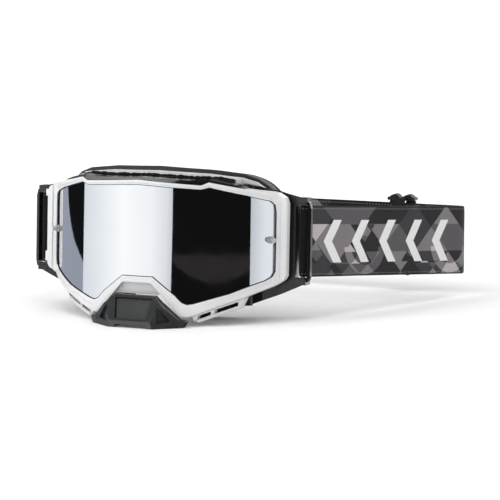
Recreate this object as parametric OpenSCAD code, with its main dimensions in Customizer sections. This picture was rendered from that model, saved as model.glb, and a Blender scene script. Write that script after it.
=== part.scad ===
// Motorcycle goggles as an assembly of separate pieces, millimetres, +Z up.
// The goggles face -Y, the wearer's left side is +X.
// The front assembly is drawn upright about the lens centre line, then leaned
// back a little; the strap loop is drawn in the standing frame.

/* [Part] */
// Which node to draw, or all of them

/* [Lens] */
// Radius of the cylinder that the lens is cut from
lens_radius = 91.5; // [85:0.5:110]
// Thickness of the lens sheet
lens_thick = 1.2; // [0.8:0.1:2]
// Lean of the goggles, top away from the front, in degrees
lean = 2.86; // [0:0.01:6]

/* [Face side] */
// Radius of the curve that follows the face
face_radius = 138; // [120:5:220]
// Depth from the lens centre to the face flange
face_depth = 34; // [28:1:42]
// Thickness of the flexible flange
flange_thick = 2.6; // [1.5:0.1:4]
// Thickness of each foam layer
foam_layer = 5; // [3:0.5:8]
// Thickness of the fleece against the face
fleece_layer = 3.4; // [1.5:0.1:4]

/* [Outriggers] */
// Distance of each hinge from the middle
hinge_x = 61; // [56:1:66]
// Depth of each hinge behind the lens centre
hinge_y = 41; // [36:1:44]
// Radius of a hinge pin
hinge_pin_radius = 1.5; // [1:0.1:2.5]
// Radius of the knuckle around a hinge pin
knuckle_radius = 3.6; // [3:0.1:5]
// Distance of each strap bar from the middle
strap_bar_x = 93.4; // [90:0.2:96]
// Depth of each strap bar
strap_bar_y = 57.5; // [54:0.5:62]

/* [Strap] */
// Width of the strap webbing
strap_width = 47; // [38:1:52]
// Thickness of the strap webbing
strap_thick = 1.8; // [1.2:0.1:3]
// Drop of the strap for each millimetre it runs backwards
strap_drop = 0.097; // [0:0.001:0.2]
// Depth of the straight strand at the back of the head loop
back_strand_y = 206; // [180:1:240]
// Radius of the fold at the end of the near strand
fold_radius = 8; // [5:0.5:14]
// Radius of the wide bend towards the left outrigger
wide_radius = 118; // [90:1:140]

/* [Slider] */
// Position of the slider along the back strand
slider_x = 108; // [90:1:125]
// Distance between the two slider bars
slider_pitch = 12; // [9:0.5:16]
// Radius of a slider bar
slider_bar_radius = 1.6; // [1:0.1:2.5]

/* [Hidden] */
$fn = 96;
// shift that puts the middle of the bottom at the origin
shift_x = -28.8;
shift_y = -101.8;
shift_z = 1.1;

lens_axis_y = lens_radius;
face_axis_y = face_depth + face_radius;
flange_back = face_depth + flange_thick;
base_back = flange_back + foam_layer;
middle_back = base_back + foam_layer;
fleece_back = middle_back + fleece_layer;
strap_top_z = 80.9;
near_x = strap_bar_x + 3.4;
near_y = strap_bar_y + 2.2;
fold_x = 148.5;
fold_y = back_strand_y - fold_radius;
fold_away = sqrt(pow(fold_x - near_x, 2) + pow(fold_y - near_y, 2));
near_heading = atan2(fold_y - near_y, fold_x - near_x) - asin(fold_radius / fold_away);
near_length = sqrt(pow(fold_away, 2) - pow(fold_radius, 2));
post_angle = 56.3;
post_z = 55.6;
loop_length = 14;
loop_inner = 1.9;
loop_thick = 1.6;
strap_gap = 20;

// right half of each front outline, from top centre round to bottom centre
bezel_half = [[0, 94], [40.6, 91.3], [45, 93.4], [68, 88.4], [80, 86], [84.8, 83.2],
  [86.5, 79], [86.5, 32.6], [84.8, 29.4], [80, 26.2], [65, 18.6], [38, 7.4],
  [33.4, 5.8], [29.6, 6.2], [26, 9.4], [10.2, 27.2], [0, 27.2]];
opening_half = [[0, 91], [40.2, 88.8], [45.2, 90.2], [65.4, 84.9], [76.4, 81.2],
  [78.8, 78.6], [79.4, 73], [79.4, 35], [78.2, 31.6], [74.6, 28.8], [66.2, 25.1],
  [56.9, 20.8], [37, 14.3], [33, 13.6], [29.6, 15], [25.1, 19.7], [10.6, 31.1],
  [0, 31.1]];
seat_half = [[0, 93.2], [40.4, 90.6], [44.8, 92.4], [67, 87.4], [79, 84.6],
  [83.2, 82], [84.6, 78], [84.6, 33.4], [83, 30.4], [79, 27.8], [64, 20.2],
  [38, 8.6], [33.4, 6.8], [29.8, 5.8], [24, 11.8], [16.2, 19.6], [0, 19.6]];
sight_half = [[0, 88.6], [40, 86.4], [66, 82], [74.4, 78.4], [76, 73], [76, 37],
  [74, 33], [64, 28], [56, 24], [38, 17.8], [33, 17.6], [13.4, 34.4], [0, 34.4]];
shell_hole_half = [[0, 88.6], [40, 86.4], [50, 84.6], [54.6, 78.4], [69, 76.4],
  [75, 73], [77.4, 69], [77.4, 41], [75.6, 36.4], [70, 32.8], [54.6, 28.4], [50.6, 20.8],
  [38, 17.8], [33, 17.6], [13.4, 34.4], [0, 34.4]];
shell_half = [[0, 93.2], [40.4, 90.6], [44.8, 92.4], [54, 89.6], [56.4, 82.4],
  [72, 80.2], [79, 77.4], [80.4, 73], [80.4, 37], [79, 33.6], [72, 29],
  [56.4, 24.4], [54, 15.2], [38, 8.8], [33.4, 7.6], [30.6, 8], [28, 13], [12.4, 30.4],
  [0, 30.4]];
crease_half = [[0, 92.3], [40.4, 90], [45.1, 91.6], [66.6, 86.4], [78, 83.4], [81.6, 80.8],
  [82.4, 75], [82.4, 34], [81.2, 30.6], [77, 27.6], [65.8, 22.2], [38, 11], [33.2, 9.8],
  [29.6, 10.8], [25.6, 14.4], [10.4, 29.2], [0, 29.2]];
lip_half = [[0, 98.2], [34, 97.2], [54.6, 95], [54.6, 90], [40, 88.4], [0, 88.4]];
lip_wing = [[52, 90], [52, 95.2], [54.6, 95], [63.4, 92.2], [68.6, 88.2], [70.5, 85.2],
  [70.5, 79], [56, 79], [56, 82]];
arm_corner = [[70, 60], [70, 46], [73.4, 46], [76.4, 49.2], [90, 49.2], [90, 60]];
flange_half = [[0, 101], [33, 99.8], [55, 97.2], [64, 94], [70, 89.4], [73.6, 84],
  [77, 76], [78.6, 68], [78.6, 36], [78, 29], [76, 22.4], [70, 16.6], [40, 3.4],
  [34, 2.2], [29, 4.4], [20, 16], [11, 22.4], [0, 24]];
flange_hole_half = [[0, 86.8], [34, 85.4], [56, 81.4], [64, 76], [67.6, 68],
  [67.6, 44], [64, 35.6], [56, 28.6], [41, 19.6], [34, 19.6], [16, 38], [0, 39.6]];
foam_half = [[0, 99.8], [33, 98.6], [55, 96], [63.2, 93], [68.8, 88.6], [72.4, 83.4],
  [75.8, 75.6], [77.4, 67.8], [77.4, 44.2], [76.2, 34.4], [73.8, 27], [70, 21.4], [62.4, 15.4],
  [40, 4.6], [34.6, 3.6], [30, 5.4], [21, 17], [11.6, 23.6], [0, 25.2]];
foam_hole_half = [[0, 85], [34, 83.8], [54.6, 79.8], [62, 74.6], [65.4, 67],
  [65.4, 45], [62, 37], [54.6, 30.4], [41.4, 21.8], [35, 21.8], [17, 40], [0, 41.4]];
guard_half = [[0, 19.2], [14, 19.2], [22.8, 11], [29.6, 4.4], [32.8, 3.9], [34, 2.8],
  [30.6, -3], [13, -3], [10, 0.4], [0, 0.4]];

function mirrored(half) = concat(half,
  [for (i = [len(half) - 1:-1:0]) if (half[i][0] != 0) [-half[i][0], half[i][1]]]);

// ---------- shared building blocks ----------

// puts an upright front piece into the standing frame
module stand()
  translate([shift_x, shift_y, shift_z])
    rotate([-lean, 0, 0])
      children();

// puts a strap piece into the standing frame
module lay()
  translate([shift_x, shift_y, shift_z])
    children();

// extrudes an outline drawn in X and Z along Y
module through(y_from, y_to)
  rotate([90, 0, 0])
    translate([0, 0, -y_to])
      linear_extrude(height = y_to - y_from)
        children();

module outline(half)
  polygon(mirrored(half));

// solid cylinder about the lens axis
module lens_drum(radius)
  translate([0, lens_axis_y, -20])
    cylinder(r = radius, h = 140, $fn = 180);

// solid cylinder about the face axis
module face_drum(radius)
  translate([0, face_axis_y, -20])
    cylinder(r = radius, h = 140, $fn = 180);

// a ring between two outlines and between two lens drums
module lens_band(outer_half, inner_half, radius_out, radius_in, y_end)
  difference() {
    intersection() {
      lens_drum(radius_out);
      through(-8, y_end) outline(outer_half);
    }
    lens_drum(radius_in);
    through(-20, 120) outline(inner_half);
  }

// a ring between two outlines and between two depths on the face curve
module face_band(outer_half, inner_half, from_depth, to_depth)
  difference() {
    intersection() {
      face_drum(face_axis_y - from_depth);
      through(0, 100) outline(outer_half);
    }
    face_drum(face_axis_y - to_depth);
    through(-20, 120) outline(inner_half);
  }

// a bar of the given plan polygon between two heights
module plan_bar(z_from, z_to, points)
  translate([0, 0, z_from])
    linear_extrude(height = z_to - z_from)
      polygon(points);

module both_sides() {
  children();
  mirror([1, 0, 0]) children();
}

// ---------- front ----------

module front_bezel()
  color([0.9, 0.9, 0.9])
    stand() {
      bezel_ring();
      // small tabs at the outer corner, clear of the strand that leaves on the other side
      mirror([1, 0, 0])
        for (span = [[32.8, 39.4], [76.6, 81]])
          plan_bar(span[0], span[1], [[86, 46.4], [89.2, 47], [89.2, 49.3], [86, 49.3]]);
    }

module bezel_ring()
      difference() {
        intersection() {
          union() {
            difference() {
              lens_drum(lens_radius + 1.4);
              lens_drum(lens_radius - 4.2);
              plan_bar(-20, 120, [[79.4, 20], [110, 20], [110, 120], [79.4, 120]]);
              plan_bar(-20, 120, [[-79.4, 20], [-110, 20], [-110, 120], [-79.4, 120]]);
            }
            both_sides()
              plan_bar(-20, 120, [[76.4, 44.2], [78.6, 43], [82, 43.6], [82.6, 42.8],
                [85.6, 43.2], [86.5, 44], [86.5, 48.8], [85.8, 49.3], [77.2, 49.3],
                [76.4, 48.6]]);
          }
          through(-8, 49.3) outline(bezel_half);
        }
        through(-20, 120) outline(opening_half);
        // lower inner border all round the lens
        intersection() {
          difference() {
            lens_drum(lens_radius + 4);
            lens_drum(lens_radius + 0.75);
          }
          through(-8, 41) outline(crease_half);
        }
        // room for the lens, its seal and the seat behind them
        intersection() {
          lens_drum(lens_radius + 0.2);
          through(-20, 120) outline([for (p = seat_half) [p[0] + (p[0] > 70 ? 0.2 : 0), p[1]]]);
        }
      }

module lens()
  color([0.75, 0.77, 0.8])
    stand()
      intersection() {
        difference() {
          lens_drum(lens_radius);
          lens_drum(lens_radius - lens_thick);
        }
        difference() {
          through(-8, 60)
            polygon(mirrored([[0, 92], [40.4, 89.8], [45.4, 91.2], [66, 86], [77, 82.4],
              [79.6, 79.4], [80.2, 73], [80.2, 35], [79, 31], [75.4, 27.8], [66.8, 24],
              [57.4, 19.6], [37, 13.2], [33, 12.4], [29, 14], [24.4, 18.8], [10.2, 30],
              [0, 30]]));
          // seats of the two tear-off posts
          both_sides()
            post_place()
              translate([0, 0, -6]) cylinder(r = 1.25, h = 14);
        }
      }

module lens_gasket()
  color([0.06, 0.06, 0.06])
    stand()
      difference() {
        intersection() {
          lens_drum(lens_radius + 0.55);
          through(-8, 47.6) outline(opening_half);
        }
        lens_drum(lens_radius + 0.1);
        through(-20, 120)
          polygon(mirrored([[0, 90.6], [40.2, 88.4], [45.2, 89.8], [65.3, 84.5], [76.1, 80.8],
            [78.4, 78.3], [79, 72.8], [79, 35.2], [77.8, 31.9], [74.4, 29.2], [66, 25.5],
            [56.8, 21.2], [36.9, 14.7], [33.1, 14.1], [29.9, 15.4], [25.4, 20.1],
            [10.8, 31.5], [0, 31.5]]));
      }

// axis of the tear-off post on one side, square to the lens surface
module post_place()
  translate([0, lens_axis_y, post_z])
    rotate([0, 0, post_angle])
      translate([0, -lens_radius, 0])
        rotate([90, 0, 0])
          children();

module tear_off_posts()
  color([0.1, 0.1, 0.1])
    stand()
      both_sides()
        post_place() {
          translate([0, 0, -2.6]) cylinder(r = 1.2, h = 4.2);
          translate([0, 0, 0.1]) cylinder(r = 2.4, h = 0.8);
          translate([0, 0, 1.5]) cylinder(r = 1.7, h = 3.1);
        }

module post_washers()
  color([0.3, 0.3, 0.3])
    stand()
      both_sides()
        post_place()
          translate([0, 0, -2.5])
            difference() {
              cylinder(r = 2.2, h = 1.1);
              translate([0, 0, -1]) cylinder(r = 1.25, h = 4);
            }

// ---------- frame ----------

module frame_body()
  color([0.88, 0.88, 0.88])
    stand()
      difference() {
        union() {
          // seat that carries the lens
          difference() {
            lens_band(seat_half, sight_half, lens_radius - lens_thick - 0.3,
              lens_radius - 4.8, 49.8);
            both_sides() {
              plan_bar(81.5, 120, arm_corner);
              plan_bar(-20, 29.5, arm_corner);
            }
          }
          // shell that runs back to the flange
          difference() {
            intersection() {
              lens_drum(lens_radius - 4.5);
              through(2, 90) outline(shell_half);
            }
            face_drum(face_radius);
            through(-20, 120) outline(shell_hole_half);
          }
          // side walls
          difference() {
            intersection() {
              both_sides()
                plan_bar(30, 82, [[76.4, 49.4], [79.3, 49.4], [79.3, 50.3], [80.4, 50.3],
                  [80.4, 62], [76.4, 62]]);
              through(2, 90) outline(shell_half);
            }
            face_drum(face_radius);
            lens_drum(10);
          }
          // raised lip behind the top vents
          difference() {
            union() {
              intersection() {
                face_drum(face_radius + 10);
                through(2, 90) outline(lip_half);
              }
              intersection() {
                face_drum(face_radius + 2.6);
                both_sides() through(2, 90) polygon(lip_wing);
              }
            }
            face_drum(face_radius);
          }
          // lugs under and over the outrigger knuckles
          both_sides() {
            translate([hinge_x, hinge_y, 77]) cylinder(r = knuckle_radius, h = 8);
            translate([hinge_x, hinge_y, 20.9]) cylinder(r = knuckle_radius, h = 10.1);
          }
        }
        // hinge pin bores
        both_sides() {
          translate([hinge_x, hinge_y, 77]) cylinder(r = hinge_pin_radius + 0.05, h = 20);
          translate([hinge_x, hinge_y, 10]) cylinder(r = hinge_pin_radius + 0.05, h = 20);
        }
        // vents through the top wall and through the floor beside the nose
        for (side = [-1, 1])
          for (i = [0:2])
            translate([side * (9 + 15 * i), 12.5 + 2.6 * i * i, 80])
              cube([11, 9, 40], center = true);
        for (side = [-1, 1])
          for (i = [0:1])
            translate([side * (40 + 12 * i), 22 + 8 * i, 14])
              cube([8, 7, 22], center = true);
      }

module top_insert()
  color([0.08, 0.08, 0.09])
    stand()
      intersection() {
        difference() {
          lens_drum(lens_radius + 0.9);
          lens_drum(lens_radius - 24);
        }
        difference() {
          through(-8, 60)
            polygon(mirrored([[0, 95.6], [34, 94.6], [44.6, 95], [54, 92.9], [62, 90.6],
              [64, 89.6], [54, 91.6], [45, 93.6], [40.4, 91.6], [0, 94.2]]));
          // room for the outrigger knuckles and the raised lip
          both_sides()
            plan_bar(60, 110, [[48, 33.4], [75, 33.4], [75, 90], [48, 90]]);
          face_drum(face_radius + 11.7);
        }
      }

module top_vent_foam()
  color([0.07, 0.07, 0.07])
    stand()
      difference() {
        intersection() {
          difference() {
            face_drum(face_radius + 11.4);
            face_drum(face_radius + 10.1);
          }
          through(-8, 60)
            polygon(mirrored([[0, 96.5], [34, 95.6], [46, 95.8], [51, 94.6], [51, 93.5],
              [45, 94.9], [34, 94.7], [0, 95.7]]));
        }
        for (side = [-1, 1])
          for (i = [0:3])
            translate([side * (5 + 11.6 * i), 26, 96.7])
              cube([1.4, 30, 1.3], center = true);
      }

module rail_half()
  difference() {
    intersection() {
      difference() {
        lens_drum(lens_radius - 1.8);
        lens_drum(lens_radius - 7.2);
      }
      through(-8, 60)
        polygon([[35, 6.3], [36.4, 3], [39.4, 2.2], [56, 9], [61.4, 11.3], [64, 18.1],
          [38, 7.3]]);
    }
    // vent slots
    through(-20, 60)
      polygon([[37.8, 3.7], [46, 7.2], [46, 9.5], [38.6, 6.5]]);
    through(-20, 60)
      polygon([[47.8, 7.8], [60.6, 12.9], [60.6, 15.5], [47.8, 10.3]]);
  }

module lower_rail_right()
  color([0.85, 0.85, 0.85])
    stand()
      rail_half();

module lower_rail_left()
  color([0.85, 0.85, 0.85])
    stand()
      mirror([1, 0, 0])
        rail_half();

module rail_foam_half()
  intersection() {
    difference() {
      lens_drum(lens_radius - 7.5);
      lens_drum(lens_radius - 9);
    }
    through(-8, 60)
      polygon([[37, 7], [38, 3.6], [56, 10.2], [60.6, 12.2], [60.6, 16.4], [54, 13.8]]);
  }

module rail_foam_right()
  color([0.07, 0.07, 0.07])
    stand()
      rail_foam_half();

module rail_foam_left()
  color([0.07, 0.07, 0.07])
    stand()
      mirror([1, 0, 0])
        rail_foam_half();

// ---------- face side ----------

module face_flange()
  color([0.16, 0.16, 0.17])
    stand()
      face_band(flange_half, flange_hole_half, face_depth + 0.05, flange_back);

module foam_base()
  color([0.2, 0.2, 0.21])
    stand()
      face_band(foam_half, foam_hole_half, flange_back + 0.02, base_back);

module foam_middle()
  color([0.42, 0.42, 0.44])
    stand()
      face_band(foam_half, foam_hole_half, base_back + 0.02, middle_back);

module face_fleece()
  color([0.12, 0.12, 0.12])
    stand()
      face_band(foam_half, foam_hole_half, middle_back + 0.02, fleece_back);

// ---------- nose guard ----------

module nose_guard()
  color([0.14, 0.14, 0.15])
    difference() {
      stand()
        difference() {
          intersection() {
            through(-16, 30) outline(guard_half);
            plan_bar(-6, 24, [[-35, 3.2], [-25.4, -3.4], [-14.6, -11.4], [14.6, -11.4],
              [25.4, -3.4], [35, 3.2], [35, 7], [28, 4.6], [18, 1], [-18, 1], [-28, 4.6],
              [-35, 7]]);
            rotate([90, 0, 90])
              translate([0, 0, -50])
                linear_extrude(height = 100)
                  polygon([[-3.4, 20], [-11.4, 3], [-10.4, -4], [14, -4], [14, 20]]);
          }
          // window in the middle
          translate([0, -7, 11])
            rotate([-25.2, 0, 0])
              rotate([90, 0, 0])
                linear_extrude(height = 5.2, center = true)
                  polygon([[-13.3, 7], [13.3, 7], [10.7, -7.8], [-10.7, -7.8]]);
          // scoops in the wings
          both_sides()
            translate([22.6, -5.4, 6.8])
              rotate([0, 0, 38])
                rotate([90, 0, 0])
                  linear_extrude(height = 4, center = true)
                    polygon([[-6, 5.4], [-4.6, 5.6], [3.4, -3.4], [-6, -5]]);
        }
      // flat feet on the ground
      translate([-90, -140, -20]) cube([140, 80, 20]);
    }

module nose_panel()
  color([0.1, 0.1, 0.1])
    stand()
      translate([0, -7, 11])
        rotate([-25.2, 0, 0])
          rotate([90, 0, 0])
            translate([0, 0, -2.4])
              linear_extrude(height = 1.4)
                polygon([[-13.1, 6.8], [13.1, 6.8], [10.5, -7.6], [-10.5, -7.6]]);

// ---------- outriggers ----------

module outrigger_half()
  difference() {
    union() {
      intersection() {
        through(30, 70)
          difference() {
            polygon([[56, 91.8], [64, 90.6], [82, 85.4], [95, 82.4], [98.2, 80.2], [99.4, 76],
              [99.4, 32], [98.4, 28.8], [94, 25.8], [80, 19.4], [66, 13.6], [62, 12], [56, 12],
              [56, 17.2], [62, 17.6], [66, 22], [72, 25.6], [79, 30.4], [81.4, 34],
              [82, 38], [82, 72], [81, 78], [78, 82], [64, 85.4], [56, 85.4]]);
            polygon([[89.3, 30.6], [97.3, 30.6], [97.3, 78.4], [89.3, 78.4]]);
          }
        plan_bar(0, 110, [[57.4, 38.6], [61, 37.8], [70, 44], [76.6, 52.4], [88, 52.4],
          [96, 52.4], [99.4, 53.6], [99.4, 56.8], [96, 56.8], [88, 55.8], [77, 55], [70, 47],
          [61, 44.5], [57.4, 43.4]]);
      }
      translate([hinge_x, hinge_y, 85.4]) cylinder(r = knuckle_radius, h = 5);
      translate([hinge_x, hinge_y, 12]) cylinder(r = knuckle_radius, h = 7.6);
      // ears that hold the strap bar
      plan_bar(80, 83, [[90, 52], [97, 52], [97, 60.4], [91, 60.4]]);
      plan_bar(26, 29.4, [[90, 52], [97, 52], [97, 60.4], [91, 60.4]]);
    }
    translate([hinge_x, hinge_y, 0])
      cylinder(r = hinge_pin_radius + 0.3, h = 110);
    translate([strap_bar_x, strap_bar_y, 0])
      cylinder(r = 1.65, h = 110);
  }

module outrigger_right()
  color([0.06, 0.06, 0.06])
    stand() {
      outrigger_half();
      // rib behind the slot, on the side away from the strand
      plan_bar(30, 79, [[86.6, 55.4], [89.2, 55.4], [89.2, 59.6], [86.6, 59.6]]);
    }

module outrigger_left()
  color([0.06, 0.06, 0.06])
    stand()
      mirror([1, 0, 0]) {
        outrigger_half();
        // rib behind the slot, on the side away from the strand
        plan_bar(30, 79, [[97.4, 54.6], [99.3, 54.6], [99.3, 60], [97.4, 60]]);
      }

module hinge_pins()
  color([0.7, 0.7, 0.72])
    stand()
      both_sides() {
        translate([hinge_x, hinge_y, 78]) cylinder(r = hinge_pin_radius, h = 12.8);
        translate([hinge_x, hinge_y, 11.6]) cylinder(r = hinge_pin_radius, h = 16);
      }

module strap_bar()
  translate([strap_bar_x, strap_bar_y, 26.4])
    cylinder(r = 1.6, h = 56.2);

module strap_bar_right()
  color([0.3, 0.3, 0.32])
    stand()
      strap_bar();

module strap_bar_left()
  color([0.3, 0.3, 0.32])
    stand()
      mirror([1, 0, 0])
        strap_bar();

// ---------- strap ----------

// webbing loop around a strap bar with a short tail that heads to the strap
module strap_loop(heading)
  translate([strap_bar_x, strap_bar_y, 31])
    rotate([0, 0, heading - 90])
      difference() {
        union() {
          cylinder(r = loop_inner + loop_thick, h = strap_width);
          translate([loop_inner, 0, 0]) cube([loop_thick, loop_length, strap_width]);
        }
        translate([0, 0, -1]) cylinder(r = loop_inner, h = strap_width + 2);
      }

module strap_loop_right()
  color([0.2, 0.2, 0.21])
    stand()
      strap_loop(near_heading);

module strap_loop_left()
  color([0.2, 0.2, 0.21])
    stand()
      mirror([1, 0, 0])
        strap_loop(90);

// straight length of band from a point along a heading
module band_line(x, y, heading, from_s, to_s, thick, side)
  translate([x, y, -20])
    rotate([0, 0, heading])
      translate([from_s, side - thick / 2, 0])
        cube([to_s - from_s, thick, 140]);

// the slice of space between the two edges of the strap
module strap_slice(margin)
  rotate([90, 0, 90])
    translate([0, 0, -200])
      linear_extrude(height = 400)
        polygon([[0, strap_top_z - margin],
          [260, strap_top_z - 260 * strap_drop - margin],
          [260, strap_top_z - 260 * strap_drop - strap_width + margin],
          [0, strap_top_z - strap_width + margin]]);

wide_x = -near_x + wide_radius;

fold_steps = 20;
wide_steps = 30;

// plan points of the strap, offset to one side of its middle line
function strap_side(offset) = concat(
  [[near_x + strap_gap * cos(near_heading) + offset * sin(near_heading),
    near_y + strap_gap * sin(near_heading) - offset * cos(near_heading)]],
  [for (i = [0:fold_steps]) let (a = near_heading - 90 + i * (180 - near_heading) / fold_steps)
    [fold_x + (fold_radius + offset) * cos(a), fold_y + (fold_radius + offset) * sin(a)]],
  [for (i = [0:wide_steps]) let (a = 90 + i * 90 / wide_steps)
    [wide_x + (wide_radius + offset) * cos(a),
      back_strand_y - wide_radius + (wide_radius + offset) * sin(a)]],
  [[-near_x - offset, near_y + strap_gap]]);

function backwards(points) = [for (i = [len(points) - 1:-1:0]) points[i]];

module strap()
  color([0.25, 0.24, 0.26])
    lay()
      intersection() {
        strap_slice(0);
        translate([0, 0, -20])
          linear_extrude(height = 140)
            polygon(concat(strap_side(strap_thick / 2), backwards(strap_side(-strap_thick / 2))));
      }

// doubled and stitched ends of the webbing, on its inner face
module strap_fold_right()
  color([0.2, 0.2, 0.21])
    lay()
      intersection() {
        strap_slice(1);
        band_line(near_x, near_y, near_heading, strap_gap + 1, strap_gap + 27, 1.4,
          strap_thick / 2 + 0.72);
      }

module strap_fold_left()
  color([0.2, 0.2, 0.21])
    lay()
      intersection() {
        strap_slice(1);
        translate([-near_x + strap_thick / 2 + 0.02, near_y + strap_gap + 1, -20])
          cube([1.4, 5.4, 140]);
      }

// silicone lines on the inner face of the back strand
module strap_grip()
  color([0.75, 0.75, 0.78])
    lay()
      for (z = [-13, 0, 13])
        translate([24, back_strand_y - strap_thick / 2 - 0.5,
            strap_top_z - back_strand_y * strap_drop - strap_width / 2 + z - 1.2])
          cube([60, 0.5, 2.4]);

// ---------- slider on the back strand ----------

slider_y = back_strand_y + strap_thick / 2 + 0.4;
slider_top = strap_top_z - back_strand_y * strap_drop + 1.2;
slider_low = slider_top - strap_width - 2.4;

// part of a disc that stands up from a slider rail
module slider_lobe(side, rail_z, rise, cut_z, radius)
  intersection() {
    translate([slider_x + side * 4.9, slider_y, rail_z + rise])
      rotate([-90, 0, 0])
        cylinder(r = radius, h = 6.6, $fn = 48);
    translate([slider_x - 20, slider_y - 1, cut_z])
      cube([40, 10, 8]);
  }

module slider_frame()
  color([0.1, 0.1, 0.1])
    lay()
      difference() {
        union() {
          // rails over and under the webbing
          translate([slider_x - 10, slider_y, slider_top])
            cube([20, 6.6, 2]);
          translate([slider_x - 10, slider_y, slider_low - 2])
            cube([20, 6.6, 2]);
          // rounded lobes over the two bars
          for (side = [-1, 1]) {
            slider_lobe(side, slider_top, -0.2, slider_top, 4.3);
            slider_lobe(side, slider_low, -0.4, slider_low - 8, 2.6);
          }
          // hooks that reach round the webbing
          for (z = [slider_top, slider_low - 2])
            translate([slider_x - 4, back_strand_y - 3.2, z])
              cube([8, 6, 2]);
          translate([slider_x - 4, back_strand_y - 3.2, slider_top - 3])
            cube([8, 1.6, 4]);
          translate([slider_x - 4, back_strand_y - 3.2, slider_low - 1])
            cube([8, 1.6, 4]);
          // middle bar
          translate([slider_x - 1, slider_y + 1.6, slider_low - 1])
            cube([2, 3.4, slider_top - slider_low + 2]);
        }
        for (side = [-1, 1])
          translate([slider_x + side * slider_pitch / 2, slider_y + 3.9, slider_low - 1.7])
            cylinder(r = slider_bar_radius + 0.05, h = slider_top - slider_low + 3.4);
      }

module slider_bars()
  color([0.7, 0.7, 0.72])
    lay()
      for (side = [-1, 1])
        translate([slider_x + side * slider_pitch / 2, slider_y + 3.9, slider_low - 1.6])
          cylinder(r = slider_bar_radius, h = slider_top - slider_low + 3.2);

module slider_wraps()
  color([0.15, 0.15, 0.16])
    lay()
      for (side = [-1, 1])
        translate([slider_x + side * slider_pitch / 2, slider_y + 3.9, slider_low + 0.3])
          difference() {
            cylinder(r = 3.7, h = slider_top - slider_low - 0.6);
            translate([0, 0, -1]) cylinder(r = slider_bar_radius + 0.3, h = 100);
          }

frame_body();
front_bezel();
lens();
lens_gasket();
top_insert();
top_vent_foam();
lower_rail_left();
lower_rail_right();
rail_foam_left();
rail_foam_right();
face_flange();
foam_base();
foam_middle();
face_fleece();
nose_guard();
nose_panel();
outrigger_left();
outrigger_right();
hinge_pins();
tear_off_posts();
post_washers();
strap();
strap_loop_left();
strap_loop_right();
strap_bar_left();
strap_bar_right();
strap_fold_left();
strap_fold_right();
strap_grip();
slider_frame();
slider_bars();
slider_wraps();
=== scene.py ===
import math

import bmesh
import bpy
import numpy as np
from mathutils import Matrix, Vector


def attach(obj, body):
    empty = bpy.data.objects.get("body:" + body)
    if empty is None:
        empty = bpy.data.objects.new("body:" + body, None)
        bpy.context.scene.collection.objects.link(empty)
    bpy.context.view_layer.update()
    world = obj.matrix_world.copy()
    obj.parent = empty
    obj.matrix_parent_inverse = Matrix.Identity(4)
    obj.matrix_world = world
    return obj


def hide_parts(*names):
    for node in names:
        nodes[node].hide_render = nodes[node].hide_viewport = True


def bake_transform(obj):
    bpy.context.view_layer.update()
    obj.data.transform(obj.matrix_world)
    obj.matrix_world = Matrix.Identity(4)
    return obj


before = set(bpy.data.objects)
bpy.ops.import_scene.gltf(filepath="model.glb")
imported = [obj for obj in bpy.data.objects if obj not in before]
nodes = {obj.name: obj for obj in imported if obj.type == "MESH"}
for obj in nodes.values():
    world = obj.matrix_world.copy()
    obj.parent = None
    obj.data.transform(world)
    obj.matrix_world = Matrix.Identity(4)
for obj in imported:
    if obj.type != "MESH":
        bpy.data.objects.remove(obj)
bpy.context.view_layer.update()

# ---------------------------------------------------------------- the CAD frame
SHIFT = np.array([-28.8, -101.8, 1.1])
LEAN = math.radians(2.86)
LENS_R = 91.5
FACE_R = 138.0
FACE_DEPTH = 34.0
FLANGE = 2.6
LAYER = 5.0
FLEECE = 3.4
BAR_X, BAR_Y = 93.4, 57.5
NEAR_X, NEAR_Y = BAR_X + 3.4, BAR_Y + 2.2
FOLD_X, BACK_Y, FOLD_R, WIDE_R = 148.5, 206.0, 8.0, 118.0
STRAP_W, STRAP_T, STRAP_TOP, STRAP_DROP = 47.0, 1.8, 80.9, 0.097
SLIDER_X = 108.0


def lay(x, y, z):
    """A point of the strap in millimetres, in the row frame in metres."""
    return (np.array([x, y, z], float) + SHIFT) / 1000.0


def stand(x, y, z):
    """A point of the upright goggles in millimetres, in the row frame in metres."""
    c, s = math.cos(LEAN), math.sin(LEAN)
    return (np.array([x, y * c + z * s, -y * s + z * c]) + SHIFT) / 1000.0


# ---------------------------------------------------------------- materials
def new_material(name):
    m = bpy.data.materials.new(name)
    m.use_nodes = True
    t = m.node_tree
    b = t.nodes["Principled BSDF"]
    return m, t, b


def node(t, kind, **values):
    n = t.nodes.new(kind)
    for key, value in values.items():
        if key in n.inputs:
            n.inputs[key].default_value = value
        else:
            setattr(n, key, value)
    return n


def link(t, a, b):
    t.links.new(a, b)


def ramp(t, source, stops, mode="LINEAR"):
    r = t.nodes.new("ShaderNodeValToRGB")
    r.color_ramp.interpolation = mode
    while len(r.color_ramp.elements) < len(stops):
        r.color_ramp.elements.new(0.5)
    for e, (p, c) in zip(r.color_ramp.elements, stops):
        e.position = p
        e.color = (*c, 1) if len(c) == 3 else c
    link(t, source, r.inputs[0])
    return r


def math_node(t, op, a, b=None, c=None):
    n = t.nodes.new("ShaderNodeMath")
    n.operation = op
    for i, v in enumerate((a, b, c)):
        if v is None:
            continue
        if isinstance(v, (int, float)):
            n.inputs[i].default_value = v
        else:
            link(t, v, n.inputs[i])
    return n.outputs[0]


def coords(t):
    return t.nodes.new("ShaderNodeTexCoord").outputs["Object"]


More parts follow.
